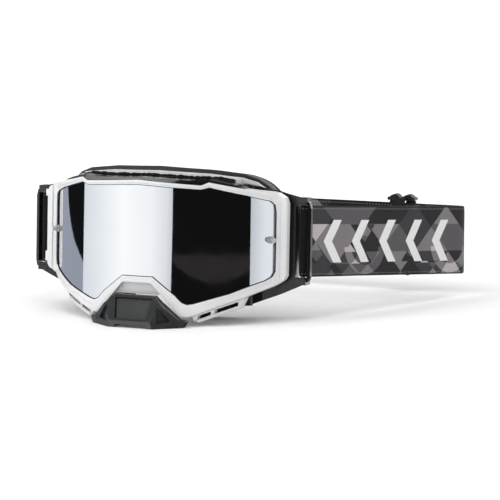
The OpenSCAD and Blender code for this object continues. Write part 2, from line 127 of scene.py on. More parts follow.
def moulded(name, low, high, rough, grain=1400.0, bump=0.06, coat=0.0, spread=0.05,
             specular=0.5, painted_edge_highlight=0.0, ior=1.5):
    """Moulded plastic or rubber: faint colour drift, fine surface grain, uneven gloss, and convex edges
    painted paler as highlights.
    """
    m, t, b = new_material(name)
    co = coords(t)
    drift = node(t, "ShaderNodeTexNoise", Scale=38.0, Detail=4.0)
    link(t, co, drift.inputs["Vector"])
    col = ramp(t, drift.outputs["Fac"], [(0.3, low), (0.7, high)])
    colour = col.outputs[0]
    # convex edges, in patches, painted paler than the body: painted edge highlights
    if painted_edge_highlight > 0:
        geo = t.nodes.new("ShaderNodeNewGeometry")
        edge = ramp(t, geo.outputs["Pointiness"], [(0.52, (0, 0, 0)), (0.62, (1, 1, 1))])
        blotch = node(t, "ShaderNodeTexNoise", Scale=160.0, Detail=3.0)
        link(t, co, blotch.inputs["Vector"])
        amount = math_node(t, "MULTIPLY", edge.outputs[0],
                           math_node(t, "MULTIPLY", blotch.outputs["Fac"], painted_edge_highlight))
        mix = t.nodes.new("ShaderNodeMix")
        mix.data_type = "RGBA"
        link(t, amount, mix.inputs["Factor"])
        link(t, colour, mix.inputs["A"])
        mix.inputs["B"].default_value = (*[min(1.0, c * 2.2 + 0.06) for c in high], 1)
        colour = mix.outputs["Result"]
    link(t, colour, b.inputs["Base Color"])
    smear = node(t, "ShaderNodeTexNoise", Scale=95.0, Detail=6.0)
    link(t, co, smear.inputs["Vector"])
    rr = ramp(t, smear.outputs["Fac"], [(0.3, (rough - spread,) * 3), (0.72, (rough + spread,) * 3)])
    link(t, rr.outputs[0], b.inputs["Roughness"])
    fine = node(t, "ShaderNodeTexNoise", Scale=grain, Detail=2.0)
    link(t, co, fine.inputs["Vector"])
    bp = node(t, "ShaderNodeBump", Strength=bump, Distance=0.0002)
    link(t, fine.outputs["Fac"], bp.inputs["Height"])
    link(t, bp.outputs[0], b.inputs["Normal"])
    b.inputs["Coat Weight"].default_value = coat
    b.inputs["Coat Roughness"].default_value = 0.04
    b.inputs["Specular IOR Level"].default_value = specular
    b.inputs["IOR"].default_value = ior
    return m


def foam_material(name, low, high, cell=1500.0, bump=0.5):
    m, t, b = new_material(name)
    co = coords(t)
    drift = node(t, "ShaderNodeTexNoise", Scale=60.0, Detail=5.0)
    link(t, co, drift.inputs["Vector"])
    cells = node(t, "ShaderNodeTexVoronoi", Scale=cell)
    link(t, co, cells.inputs["Vector"])
    # cell middles darker where the bump sinks in: painted shade in the pores
    pore_painted_shade = ramp(t, cells.outputs["Distance"], [(0.05, (0.45,) * 3), (0.5, (1, 1, 1))])
    base = ramp(t, drift.outputs["Fac"], [(0.3, low), (0.7, high)])
    mul = t.nodes.new("ShaderNodeMix")
    mul.data_type = "RGBA"
    mul.blend_type = "MULTIPLY"
    mul.inputs["Factor"].default_value = 1.0
    link(t, base.outputs[0], mul.inputs["A"])
    link(t, pore_painted_shade.outputs[0], mul.inputs["B"])
    link(t, mul.outputs["Result"], b.inputs["Base Color"])
    b.inputs["Roughness"].default_value = 0.95
    b.inputs["Sheen Weight"].default_value = 0.15
    bp = node(t, "ShaderNodeBump", Strength=bump, Distance=0.0006)
    link(t, cells.outputs["Distance"], bp.inputs["Height"])
    link(t, bp.outputs[0], b.inputs["Normal"])
    return m


def fleece_material(name, low, high):
    m, t, b = new_material(name)
    co = coords(t)
    fibre = node(t, "ShaderNodeTexNoise", Scale=2600.0, Detail=4.0, Distortion=1.4)
    link(t, co, fibre.inputs["Vector"])
    matted = node(t, "ShaderNodeTexNoise", Scale=220.0, Detail=5.0)
    link(t, co, matted.inputs["Vector"])
    both = math_node(t, "MULTIPLY_ADD", fibre.outputs["Fac"], 0.6,
                     math_node(t, "MULTIPLY", matted.outputs["Fac"], 0.4))
    col = ramp(t, both, [(0.32, low), (0.68, high)])
    link(t, col.outputs[0], b.inputs["Base Color"])
    b.inputs["Roughness"].default_value = 1.0
    b.inputs["Sheen Weight"].default_value = 0.35
    bp = node(t, "ShaderNodeBump", Strength=0.7, Distance=0.0006)
    link(t, both, bp.inputs["Height"])
    link(t, bp.outputs[0], b.inputs["Normal"])
    return m


def mirror_material(name):
    m, t, b = new_material(name)
    co = coords(t)
    haze = node(t, "ShaderNodeTexNoise", Scale=24.0, Detail=3.0)
    link(t, co, haze.inputs["Vector"])
    col = ramp(t, haze.outputs["Fac"], [(0.3, (0.80, 0.83, 0.87)), (0.7, (0.84, 0.86, 0.89))])
    link(t, col.outputs[0], b.inputs["Base Color"])
    b.inputs["Metallic"].default_value = 1.0
    smear = node(t, "ShaderNodeTexNoise", Scale=70.0, Detail=6.0)
    link(t, co, smear.inputs["Vector"])
    rr = ramp(t, smear.outputs["Fac"], [(0.35, (0.018,) * 3), (0.75, (0.05,) * 3)])
    link(t, rr.outputs[0], b.inputs["Roughness"])
    bp = node(t, "ShaderNodeBump", Strength=0.02, Distance=0.0004)
    link(t, haze.outputs["Fac"], bp.inputs["Height"])
    link(t, bp.outputs[0], b.inputs["Normal"])
    return m


def steel_material(name):
    m, t, b = new_material(name)
    co = coords(t)
    stretch = node(t, "ShaderNodeMapping")
    stretch.inputs["Scale"].default_value = (1, 1, 0.04)
    link(t, co, stretch.inputs["Vector"])
    brushed = node(t, "ShaderNodeTexNoise", Scale=900.0, Detail=3.0)
    link(t, stretch.outputs[0], brushed.inputs["Vector"])
    col = ramp(t, brushed.outputs["Fac"], [(0.3, (0.42, 0.42, 0.44)), (0.7, (0.62, 0.62, 0.64))])
    link(t, col.outputs[0], b.inputs["Base Color"])
    b.inputs["Metallic"].default_value = 1.0
    rr = ramp(t, brushed.outputs["Fac"], [(0.3, (0.25,) * 3), (0.7, (0.42,) * 3)])
    link(t, rr.outputs[0], b.inputs["Roughness"])
    return m


def weave_height(t, u, v, pitch):
    """Height of a plain weave from two lengths in millimetres."""
    k = math.pi / pitch
    a = math_node(t, "ABSOLUTE", math_node(t, "SINE", math_node(t, "MULTIPLY", u, k)))
    c = math_node(t, "ABSOLUTE", math_node(t, "SINE", math_node(t, "MULTIPLY", v, k)))
    over = math_node(t, "FRACT", math_node(
        t, "MULTIPLY",
        math_node(t, "ADD",
                  math_node(t, "FLOOR", math_node(t, "MULTIPLY", u, 1 / pitch)),
                  math_node(t, "FLOOR", math_node(t, "MULTIPLY", v, 1 / pitch))),
        0.5))
    pick = math_node(t, "GREATER_THAN", over, 0.25)
    mix = t.nodes.new("ShaderNodeMix")
    mix.data_type = "FLOAT"
    link(t, pick, mix.inputs["Factor"])
    link(t, a, mix.inputs["A"])
    link(t, c, mix.inputs["B"])
    return mix.outputs["Result"]


def band(t, value, low, high, soft=0.15):
    """1 where value is between low and high, with soft edges."""
    up = t.nodes.new("ShaderNodeMapRange")
    up.inputs["From Min"].default_value = low - soft
    up.inputs["From Max"].default_value = low + soft
    link(t, value, up.inputs["Value"])
    down = t.nodes.new("ShaderNodeMapRange")
    down.inputs["From Min"].default_value = high - soft
    down.inputs["From Max"].default_value = high + soft
    down.inputs["To Min"].default_value = 1.0
    down.inputs["To Max"].default_value = 0.0
    link(t, value, down.inputs["Value"])
    return math_node(t, "MULTIPLY", up.outputs[0], down.outputs[0])


def webbing_material(name, printed):
    """Woven elastic: weave bump, dotted edge rows, an angular grey print and plain white chevrons."""
    m, t, b = new_material(name)
    uv = node(t, "ShaderNodeUVMap", uv_map="along")
    sep = t.nodes.new("ShaderNodeSeparateXYZ")
    link(t, uv.outputs[0], sep.inputs[0])
    # the map holds decimetres, so that both numbers stay small: to millimetres
    u = math_node(t, "MULTIPLY", sep.outputs["X"], 100.0)
    v = math_node(t, "MULTIPLY", sep.outputs["Y"], 100.0)

    def facets(size, slope, seed):
        """A random value for each triangle of a slanted grid."""
        p = math_node(t, "FLOOR", math_node(t, "DIVIDE", math_node(t, "MULTIPLY_ADD", v, slope, u), size))
        q = math_node(t, "FLOOR", math_node(
            t, "DIVIDE", math_node(t, "MULTIPLY_ADD", v, -slope, u), size * 1.13))
        r = math_node(t, "FLOOR", math_node(t, "DIVIDE", math_node(t, "ADD", v, 60.0 + seed), size * 0.62))
        comb = t.nodes.new("ShaderNodeCombineXYZ")
        link(t, p, comb.inputs[0])
        link(t, q, comb.inputs[1])
        link(t, math_node(t, "ADD", r, seed), comb.inputs[2])
        w = node(t, "ShaderNodeTexWhiteNoise", noise_dimensions="3D")
        link(t, comb.outputs[0], w.inputs["Vector"])
        return w.outputs["Value"]

    def pick(test, a, c):
        mix = t.nodes.new("ShaderNodeMix")
        mix.data_type = "FLOAT"
        link(t, test, mix.inputs["Factor"])
        link(t, a, mix.inputs["A"])
        link(t, c, mix.inputs["B"])
        return mix.outputs["Result"]

    # big facets, finer ones in places, and wide rings across them
    place = facets(41.0, 0.8, 5.0)
    tone = pick(math_node(t, "GREATER_THAN", place, 0.68), facets(30.0, 1.0, 3.0), facets(15.0, 1.2, 11.0))
    du = math_node(
        t, "SUBTRACT",
        math_node(t, "MULTIPLY",
                  math_node(t, "FRACT", math_node(t, "DIVIDE", math_node(t, "ADD", u, 14.0), 84.0)), 84.0),
        60.0)
    dv = math_node(t, "ADD", v, 3.0)
    away = math_node(t, "SQRT", math_node(t, "MULTIPLY_ADD", du, du, math_node(t, "MULTIPLY", dv, dv)))
    ring = math_node(t, "MULTIPLY", math_node(t, "GREATER_THAN", away, 13.0),
                     math_node(t, "LESS_THAN", away, 19.5))
    low_half = math_node(t, "LESS_THAN", v, -4.0)
    tone = pick(math_node(t, "MULTIPLY", ring, low_half), tone,
                math_node(t, "MULTIPLY_ADD", tone, 0.25, 0.72))
    shades = ramp(t, tone, [
        (0.0, (0.015, 0.014, 0.017)), (0.36, (0.042, 0.039, 0.046)), (0.60, (0.110, 0.102, 0.112)),
        (0.78, (0.235, 0.215, 0.222)), (0.90, (0.58, 0.52, 0.52))], "CONSTANT")
    colour = shades.outputs[0]
    if printed:
        across = math_node(t, "ABSOLUTE", v)
        tall = band(t, across, -1.0, 14.2, 0.1)
        # chevrons: length less part of the distance from the middle line
        lean = math_node(
            t, "DIVIDE",
            math_node(t, "SUBTRACT", math_node(t, "MULTIPLY_ADD", across, -0.62, u), 7.0), 26.0)
        stroke = band(t, math_node(t, "FRACT", lean), 0.02, 0.31, 0.006)
        few = band(t, lean, 0.0, 5.0, 0.002)
        mark = math_node(t, "MULTIPLY", math_node(t, "MULTIPLY", tall, stroke), few)
        mix = t.nodes.new("ShaderNodeMix")
        mix.data_type = "RGBA"
        link(t, mark, mix.inputs["Factor"])
        link(t, colour, mix.inputs["A"])
        mix.inputs["B"].default_value = (0.93, 0.93, 0.93, 1)
        colour = mix.outputs["Result"]
    # plain black round the strap bars, and a dark binding along both edges
    ends = math_node(t, "MAXIMUM", math_node(t, "LESS_THAN", u, -7.0),
                     math_node(t, "GREATER_THAN", u, 1000.0))
    dark = math_node(t, "MAXIMUM", ends, math_node(t, "GREATER_THAN", math_node(t, "ABSOLUTE", v), 22.6))
    plain = t.nodes.new("ShaderNodeMix")
    plain.data_type = "RGBA"
    link(t, dark, plain.inputs["Factor"])
    link(t, colour, plain.inputs["A"])
    plain.inputs["B"].default_value = (0.008, 0.008, 0.009, 1)
    colour = plain.outputs["Result"]
    # rows of small stitches near both edges
    edge = band(t, math_node(t, "ABSOLUTE", v), 21.3, 21.9, 0.12)
    dash = band(t, math_node(t, "FRACT", math_node(t, "DIVIDE", u, 2.2)), 0.15, 0.6, 0.05)
    stitch = math_node(t, "MULTIPLY", edge, dash)
    mix2 = t.nodes.new("ShaderNodeMix")
    mix2.data_type = "RGBA"
    link(t, math_node(t, "MULTIPLY", stitch, 0.55), mix2.inputs["Factor"])
    link(t, colour, mix2.inputs["A"])
    mix2.inputs["B"].default_value = (0.36, 0.35, 0.36, 1)
    colour = mix2.outputs["Result"]
    height = weave_height(t, u, v, 0.62)
    # low places of the weave darkened in the base colour: painted shade between the threads
    painted_weave_shade = ramp(t, height, [(0.0, (0.55,) * 3), (0.7, (1, 1, 1))])
    mul = t.nodes.new("ShaderNodeMix")
    mul.data_type = "RGBA"
    mul.blend_type = "MULTIPLY"
    mul.inputs["Factor"].default_value = 0.8
    link(t, colour, mul.inputs["A"])
    link(t, painted_weave_shade.outputs[0], mul.inputs["B"])
    link(t, mul.outputs["Result"], b.inputs["Base Color"])
    b.inputs["Roughness"].default_value = 0.86
    b.inputs["Sheen Weight"].default_value = 0.12
    b.inputs["Specular IOR Level"].default_value = 0.25
    rib = math_node(t, "MULTIPLY_ADD", stitch, 0.8, height)
    bp = node(t, "ShaderNodeBump", Strength=0.55, Distance=0.00025)
    link(t, rib, bp.inputs["Height"])
    link(t, bp.outputs[0], b.inputs["Normal"])
    return m


WHITE = moulded("bezel_white", (0.74, 0.745, 0.75), (0.79, 0.79, 0.795), 0.34, bump=0.05, spread=0.05)
FRAME = moulded("frame_white", (0.70, 0.705, 0.71), (0.76, 0.76, 0.765), 0.42, bump=0.08, spread=0.06)
MIRROR = mirror_material("lens_mirror")
SEAL = moulded("seal_black", (0.012, 0.012, 0.012), (0.02, 0.02, 0.02), 0.55, bump=0.1)
GLOSS = moulded("gloss_black", (0.006, 0.006, 0.007), (0.012, 0.012, 0.013), 0.1,
                 grain=700, bump=0.012, spread=0.03, ior=2.5)
# On the outrigger, guard, flange and slider materials the edge amount paints paler edges: painted highlights.
OUTRIG = moulded("outrigger_black", (0.004, 0.004, 0.005), (0.010, 0.010, 0.011), 0.2,
                  grain=700, bump=0.02, spread=0.05, painted_edge_highlight=0.35, ior=1.5)
GUARD = moulded("guard_charcoal", (0.030, 0.031, 0.032), (0.042, 0.043, 0.044), 0.27,
                 bump=0.08, spread=0.07, coat=0.35, painted_edge_highlight=0.7)
PANEL = moulded("guard_panel", (0.045, 0.047, 0.047), (0.065, 0.067, 0.067), 0.3,
                 grain=500, bump=0.15, coat=0.3)
FLANGE_M = moulded("flange_charcoal", (0.020, 0.020, 0.021), (0.034, 0.034, 0.036), 0.58, bump=0.15, painted_edge_highlight=0.2)
POST = moulded("post_clear", (0.40, 0.40, 0.40), (0.52, 0.52, 0.52), 0.2, bump=0.05, coat=0.4)
STEEL = steel_material("steel")
SILICONE = moulded("silicone", (0.34, 0.34, 0.36), (0.44, 0.44, 0.46), 0.28, grain=300, bump=0.15)
SLIDER = moulded("slider_black", (0.010, 0.010, 0.010), (0.018, 0.018, 0.018), 0.5, bump=0.1, painted_edge_highlight=0.2)
VENT = foam_material("vent_foam", (0.004, 0.004, 0.004), (0.012, 0.012, 0.012), 1100, 0.9)
FOAM_A = foam_material("foam_dark", (0.028, 0.028, 0.030), (0.045, 0.045, 0.048), 1500, 0.5)
FOAM_B = foam_material("foam_grey", (0.14, 0.14, 0.15), (0.20, 0.20, 0.21), 1300, 0.6)
FLEECE_M = fleece_material("fleece_black", (0.010, 0.010, 0.010), (0.045, 0.045, 0.045))
WEB = webbing_material("strap_web", True)
WEB_BACK = webbing_material("strap_web_back", False)
PLAIN = fleece_material("strap_plain", (0.010, 0.010, 0.011), (0.03, 0.03, 0.032))

finishes = {
    "frame_body": FRAME, "front_bezel": WHITE, "lens": MIRROR, "lens_gasket": SEAL,
    "tear_off_posts": POST, "post_washers": POST, "top_insert": GLOSS, "top_vent_foam": VENT,
    "lower_rail_left": FRAME, "lower_rail_right": FRAME, "rail_foam_left": VENT,
    "rail_foam_right": VENT, "face_flange": FLANGE_M, "nose_guard": GUARD, "nose_panel": PANEL,
    "outrigger_left": OUTRIG, "outrigger_right": OUTRIG, "hinge_pins": STEEL,
    "strap_bar_left": STEEL, "strap_bar_right": STEEL, "strap_grip": SILICONE,
    "slider_frame": SLIDER, "slider_bars": STEEL, "slider_wraps": PLAIN,
    "foam_base": FOAM_A, "foam_middle": FOAM_B, "face_fleece": FLEECE_M, "strap": WEB,
    "strap_loop_left": WEB, "strap_loop_right": WEB, "strap_fold_left": WEB, "strap_fold_right": WEB,
}
for name, material in finishes.items():
    mesh = nodes[name].data
    mesh.materials.clear()
    mesh.materials.append(material)

# softened edges on the carried-over moulded nodes
for name, width in {
    "front_bezel": 0.55, "frame_body": 0.35, "top_insert": 0.3, "lower_rail_left": 0.4,
    "lower_rail_right": 0.4, "nose_guard": 0.6, "nose_panel": 0.25, "outrigger_left": 1.2,
    "outrigger_right": 1.2, "slider_frame": 0.4, "slider_wraps": 0.9, "face_flange": 0.5,
    "tear_off_posts": 0.25, "strap_grip": 0.2,
}.items():
    o = nodes[name]
    weld = o.modifiers.new("weld", "WELD")
    weld.merge_threshold = 0.00002
    bev = o.modifiers.new("edge", "BEVEL")
    bev.width = width / 1000.0
    bev.segments = 3
    bev.limit_method = "ANGLE"
    bev.angle_limit = math.radians(34)
    bev.harden_normals = True
    bev.use_clamp_overlap = True


# ---------------------------------------------------------------- strap webbing
def heading_out():
    dx, dy = FOLD_X - NEAR_X, (BACK_Y - FOLD_R) - NEAR_Y
    away = math.hypot(dx, dy)
    return math.atan2(dy, dx) - math.asin(FOLD_R / away), math.sqrt(away * away - FOLD_R * FOLD_R)


HEAD, NEAR_LEN = heading_out()


def resample(points, step):
    p = np.array(points, float)
    d = np.r_[0, np.cumsum(np.linalg.norm(np.diff(p, axis=0), axis=1))]
    n = max(2, int(round(d[-1] / step)))
    s = np.linspace(0, d[-1], n + 1)
    return np.c_[np.interp(s, d, p[:, 0]), np.interp(s, d, p[:, 1])], s


def smooth(points, times):
    p = np.array(points, float)
    for _ in range(times):
        q = p.copy()
        q[1:-1] = 0.25 * p[:-2] + 0.5 * p[1:-1] + 0.25 * p[2:]
        p = q
    return p


def loop_points(side, head):
    """Plan points of a webbing end: sewn tail, round the strap bar, then out along the strand."""
    lean_y = math.sin(LEAN) * 54.4
    cx, cy = BAR_X, BAR_Y * math.cos(LEAN) + lean_y
    along = np.array([math.cos(head), math.sin(head)])
    right = np.array([math.sin(head), -math.cos(head)])
    r = 2.74
    pts = []
    for s in np.linspace(26, 9, 9):
        pts.append(np.array([cx, cy]) + along * s + right * (r - 1.9))
    for s in np.linspace(7, 1, 4):
        k = (7 - s) / 6
        k = k * k * (3 - 2 * k)
        pts.append(np.array([cx, cy]) + along * s + right * ((r - 1.9) * (1 - k) - r * k))
    for a in np.linspace(0, math.pi, 16):
        pts.append(np.array([cx, cy]) - right * r * math.cos(a) - along * r * math.sin(a))
    for s in np.linspace(2, 18, 5):
        pts.append(np.array([cx, cy]) + along * s + right * r)
    return [np.array([side * p[0], p[1]]) for p in pts]


def webbing(name, points, step, start_u, material):
    """A flat band swept along plan points, between the strap's sloping edges."""
    path, s = resample(points, step)
    path = smooth(path, 2)
    tangent = np.gradient(path, axis=0)
    tangent /= np.linalg.norm(tangent, axis=1)[:, None]
    normal = np.c_[tangent[:, 1], -tangent[:, 0]]
    profile = [-1, -0.988, -0.955, -0.9, -0.8, -0.6, -0.4, -0.2, 0, 0.2, 0.4, 0.6, 0.8, 0.9, 0.955, 0.988, 1]
    verts, uvs = [], []
    ring = []
    for side in (1, -1):
        for v in (profile if side == 1 else profile[::-1][1:-1]):
            body = (1 - abs(v) ** 14) ** 0.5
            bead = 0.14 * math.exp(-((abs(v) - 0.95) / 0.02) ** 2)
            ring.append((side * (STRAP_T / 2 * body * (0.94 + bead) if abs(v) < 1 else 0), v))
    for i, (p, n) in enumerate(zip(path, normal)):
        x, y = p
        near_bar = max(0.0, 1 - max(0.0, y - NEAR_Y - 4) / 40.0)
        near_bar = near_bar * near_bar * (3 - 2 * near_bar)
        mid = STRAP_TOP - STRAP_DROP * y - STRAP_W / 2
        for off, v in ring:
            z = mid + v * (STRAP_W / 2 - 0.15)
            wave = 0.16 * math.sin(s[i] / 9.0 + 1.3) * math.sin(v * 2.2 + s[i] / 23.0) * (1 - near_bar)
            yy = y + near_bar * (z - 54.4) * math.sin(LEAN)
            q = np.array([x + n[0] * (off + wave), yy + n[1] * (off + wave)])
            verts.append(lay(q[0], q[1], z))
            uvs.append(((start_u + s[i]) / 100.0, (v * STRAP_W / 2) / 100.0))
    m = len(ring)
    faces = []
    for i in range(len(path) - 1):
        for j in range(m):
            k = (j + 1) % m
            faces.append((i * m + j, i * m + k, (i + 1) * m + k, (i + 1) * m + j))
    half = len(profile)
    for base, flip in ((0, False), ((len(path) - 1) * m, True)):
        top = list(range(half))
        for j in range(half - 1):
            a, c = base + j, base + j + 1
            d = base + (m - j - 1) % m if j + 1 < half - 1 else base + half - 1
            e = base + (m - j) % m if j else base
            quad = [a, c, d, e]
            quad = [q for n_, q in enumerate(quad) if q not in quad[:n_]]
            if len(quad) >= 3:
                faces.append(tuple(quad[::-1] if not flip else quad))
    mesh = bpy.data.meshes.new(name)
    mesh.from_pydata([tuple(p) for p in verts], [], faces)
    layer = mesh.uv_layers.new(name="along")
    for loop in mesh.loops:
        layer.data[loop.index].uv = uvs[loop.vertex_index]
    # the chevrons are on the outer side only
    mesh.materials.append(material)
    mesh.materials.append(WEB_BACK)
    for i in range((len(path) - 1) * m):
        mesh.polygons[i].material_index = 0 if i % m < half - 1 else 1
    bm = bmesh.new()
    bm.from_mesh(mesh)
    bmesh.ops.recalc_face_normals(bm, faces=bm.faces)
    bm.to_mesh(mesh)
    bm.free()
    for p in mesh.polygons:
        p.use_smooth = True
    o = bpy.data.objects.new(name, mesh)
    bpy.context.scene.collection.objects.link(o)
    return o


def length(points):
    return float(np.linalg.norm(np.diff(np.array(points), axis=0), axis=1).sum())


near = loop_points(1, HEAD)
LOOP_LEN = length(near) - 11.0
near_start = np.array([NEAR_X, NEAR_Y])
direction = np.array([math.cos(HEAD), math.sin(HEAD)])
for s in np.linspace(24, NEAR_LEN - 1, 24):
    near.append(near_start + direction * s)
for a in np.linspace(HEAD - math.pi / 2, math.pi / 2, 14):
    near.append(np.array([FOLD_X + FOLD_R * math.cos(a), BACK_Y - FOLD_R + FOLD_R * math.sin(a)]))
for x in np.linspace(FOLD_X - 3, SLIDER_X, 8):
    near.append(np.array([x, BACK_Y]))
near_cloth = webbing("strap_near_webbing", near, 1.6, -LOOP_LEN, WEB)

far = [np.array([x, BACK_Y]) for x in np.linspace(SLIDER_X, -NEAR_X + WIDE_R + 2, 16)]
for a in np.linspace(math.pi / 2, math.pi, 40):
    far.append(np.array([-NEAR_X + WIDE_R + WIDE_R * math.cos(a), BACK_Y - WIDE_R + WIDE_R * math.sin(a)]))
for y in np.linspace(BACK_Y - WIDE_R - 2, NEAR_Y + 22, 4):
    far.append(np.array([-NEAR_X, y]))
far += loop_points(-1, math.pi / 2)[::-1]
far_cloth = webbing("strap_far_webbing", far, 1.8, 1000.0 - length(far) + LOOP_LEN, WEB_BACK)

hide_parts("strap", "strap_loop_right", "strap_fold_right")
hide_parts("strap_loop_left", "strap_fold_left")
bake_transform(near_cloth)
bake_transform(far_cloth)

# ---------------------------------------------------------------- foam pads
FOAM_OUT = [(0, 99.8), (33, 98.6), (55, 96), (63.2, 93), (68.8, 88.6), (72.4, 83.4), (75.8, 75.6),
            (77.4, 67.8), (77.4, 44.2), (76.2, 34.4), (73.8, 27), (70, 21.4), (62.4, 15.4), (40, 4.6),
            (34.6, 3.6), (30, 5.4), (21, 17), (11.6, 23.6), (0, 25.2)]
FOAM_IN = [(0, 85), (34, 83.8), (54.6, 79.8), (62, 74.6), (65.4, 67), (65.4, 45), (62, 37),
           (54.6, 30.4), (41.4, 21.8), (35, 21.8), (17, 40), (0, 41.4)]


def closed(half):
    return np.array(list(half) + [(-x, z) for x, z in half[::-1] if x != 0], float)


def even(points, n, rounds=6):
    p = np.vstack([points, points[:1]])
    d = np.r_[0, np.cumsum(np.linalg.norm(np.diff(p, axis=0), axis=1))]
    s = np.linspace(0, d[-1], n, endpoint=False)
    q = np.c_[np.interp(s, d, p[:, 0]), np.interp(s, d, p[:, 1])]
    for _ in range(rounds):
        q = 0.25 * np.roll(q, 1, 0) + 0.5 * q + 0.25 * np.roll(q, -1, 0)
    return q


def face_y(x, depth):
    axis = FACE_DEPTH + FACE_R
    return axis - math.sqrt((axis - depth) ** 2 - x * x)


def pad(name, from_depth, to_depth, crown, tuck, material):
    """A foam ring on the face curve with rounded, slightly tucked sides and a crowned back."""
    n = 300
    outer = even(closed(FOAM_OUT), n, 5)
    inner_all = even(closed(FOAM_IN), 1200, 20)
    # pair each outer point with the nearest inner point, kept in order
    start = np.argmin(np.linalg.norm(inner_all - outer[0], axis=1))
    idx = [start]
    for i in range(1, n):
        window = (idx[-1] + np.arange(0, 40)) % 1200
        best = window[np.argmin(np.linalg.norm(inner_all[window] - outer[i], axis=1))]
        idx.append(best)
    unwrapped = np.unwrap(np.array(idx) / 1200 * 2 * math.pi) / (2 * math.pi) * 1200
    unwrapped = np.r_[unwrapped, unwrapped[0] + 1200]
    for _ in range(12):
        unwrapped[1:-1] = 0.25 * unwrapped[:-2] + 0.5 * unwrapped[1:-1] + 0.25 * unwrapped[2:]
    inner = inner_all[(np.round(unwrapped[:-1]).astype(int)) % 1200]
    for _ in range(4):
        inner = 0.25 * np.roll(inner, 1, 0) + 0.5 * inner + 0.25 * np.roll(inner, -1, 0)
    h = to_depth - from_depth
    profile = [(0.5, 0.0), (0.25, 0.0), (0.06, 0.0), (tuck * 0.6, 0.08), (0.0, 0.3),
               (-0.012, 0.55), (0.0, 0.8),
               (0.03, 0.93), (0.08, 0.985), (0.2, 1.0), (0.35, 1.0), (0.5, 1.0), (0.65, 1.0), (0.8, 1.0),
               (0.92, 0.985), (0.97, 0.93), (1.0, 0.8), (1.012, 0.55), (1.0, 0.3), (1 - tuck * 0.6, 0.08),
               (0.94, 0.0), (0.75, 0.0)]
    m = len(profile)
    verts, faces = [], []
    for i in range(n):
        for w, f in profile:
            q = outer[i] * (1 - w) + inner[i] * w
            lift = crown * max(0.0, 1 - ((w - 0.5) / 0.5) ** 2) if f >= 0.98 else 0.0
            ripple = 0.10 * math.sin(i * 0.37 + w * 3.1) * math.sin(i * 0.083) * (1 if f > 0.5 else 0)
            d = from_depth + h * f + lift + ripple
            verts.append(tuple(stand(q[0], face_y(q[0], d), q[1])))
    for i in range(n):
        k = (i + 1) % n
        for j in range(m):
            l = (j + 1) % m
            faces.append((i * m + j, k * m + j, k * m + l, i * m + l))
    mesh = bpy.data.meshes.new(name)
    mesh.from_pydata(verts, [], faces)
    mesh.materials.append(material)
    bm = bmesh.new()
    bm.from_mesh(mesh)
    bmesh.ops.recalc_face_normals(bm, faces=bm.faces)
    bm.to_mesh(mesh)
    bm.free()
    for p in mesh.polygons:
        p.use_smooth = True
    o = bpy.data.objects.new(name, mesh)
    bpy.context.scene.collection.objects.link(o)
    return o


d1 = FACE_DEPTH + FLANGE
for name, a, c, crown, tuck, material, cad, slot, fill in (
    ("pad_base_foam", d1 + 0.05, d1 + LAYER - 0.1, 0.0, 0.05, FOAM_A, "foam_base", "foam_dark", 0.9),
    ("pad_middle_foam", d1 + LAYER - 0.05, d1 + 2 * LAYER - 0.1, 0.0, 0.05, FOAM_B,
     "foam_middle", "foam_grey", 0.8),
    ("pad_fleece", d1 + 2 * LAYER - 0.05, d1 + 2 * LAYER + FLEECE - 0.6, 0.6, 0.05, FLEECE_M,
     "face_fleece", "fleece_black", 0.7),
):
    piece = pad(name, a, c, crown, tuck, material)
    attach(piece, "goggles")
    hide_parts(cad)

# ---------------------------------------------------------------- small soft pieces
def soft_strip(name, sections, material):
    """Rings of points joined into one closed skin."""
    verts, faces = [], []
    m = len(sections[0])
    for ring in sections:
        verts += [tuple(stand(*q)) for q in ring]
    for i in range(len(sections) - 1):
        for j in range(m):
            k = (j + 1) % m
            faces.append((i * m + j, i * m + k, (i + 1) * m + k, (i + 1) * m + j))
    last = (len(sections) - 1) * m
    faces.append(tuple(range(m))[::-1])
    faces.append(tuple(range(last, last + m)))
    mesh = bpy.data.meshes.new(name)
    mesh.from_pydata(verts, [], faces)
    mesh.materials.append(material)
    bm = bmesh.new()
    bm.from_mesh(mesh)
    bmesh.ops.recalc_face_normals(bm, faces=bm.faces)
    bm.to_mesh(mesh)
    bm.free()
    for f_ in mesh.polygons:
        f_.use_smooth = len(f_.vertices) == 4
    o = bpy.data.objects.new(name, mesh)
    bpy.context.scene.collection.objects.link(o)
    return o


def rounded(front, back, low, high):
    """A rounded four-sided section: pairs of (across, height) weights."""
    ring = []
    for a, c in ((0, 0.3), (0, 0.7), (0.12, 0.93), (0.35, 1), (0.65, 1),
                 (0.88, 0.93), (1, 0.7), (1, 0.3), (0.88, 0.06), (0.65, 0), (0.35, 0), (0.12, 0.06)):
        ring.append((front + (back - front) * a, low + (high - low) * c))
    return ring


rows = []
for x in np.linspace(-54, 54, 217):
    ax = abs(x)
    low = np.interp(ax, [0, 34, 45, 51, 54], [95.72, 94.74, 95.02, 93.75, 93.05])
    lump = 0.22 * math.sin(x * 0.55 + 0.6) * math.sin(x * 0.21) + 0.12 * math.sin(x * 1.7)
    gap = sum(math.exp(-((ax - g) / 0.8) ** 2) for g in (5, 16.6, 28.2, 39.8))
    high = np.interp(ax, [0, 34, 46, 51, 54], [97.0, 96.1, 96.2, 95.0, 94.2]) + lump - 0.55 * gap
    ring = []
    for d, z in rounded(FACE_DEPTH - 12.3, FACE_DEPTH - 10.12, low, high):
        ring.append((x, face_y(x, d), z))
    rows.append(ring)
vent = soft_strip("vent_foam_strip", rows, VENT)
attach(vent, "goggles")
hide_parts("top_vent_foam")

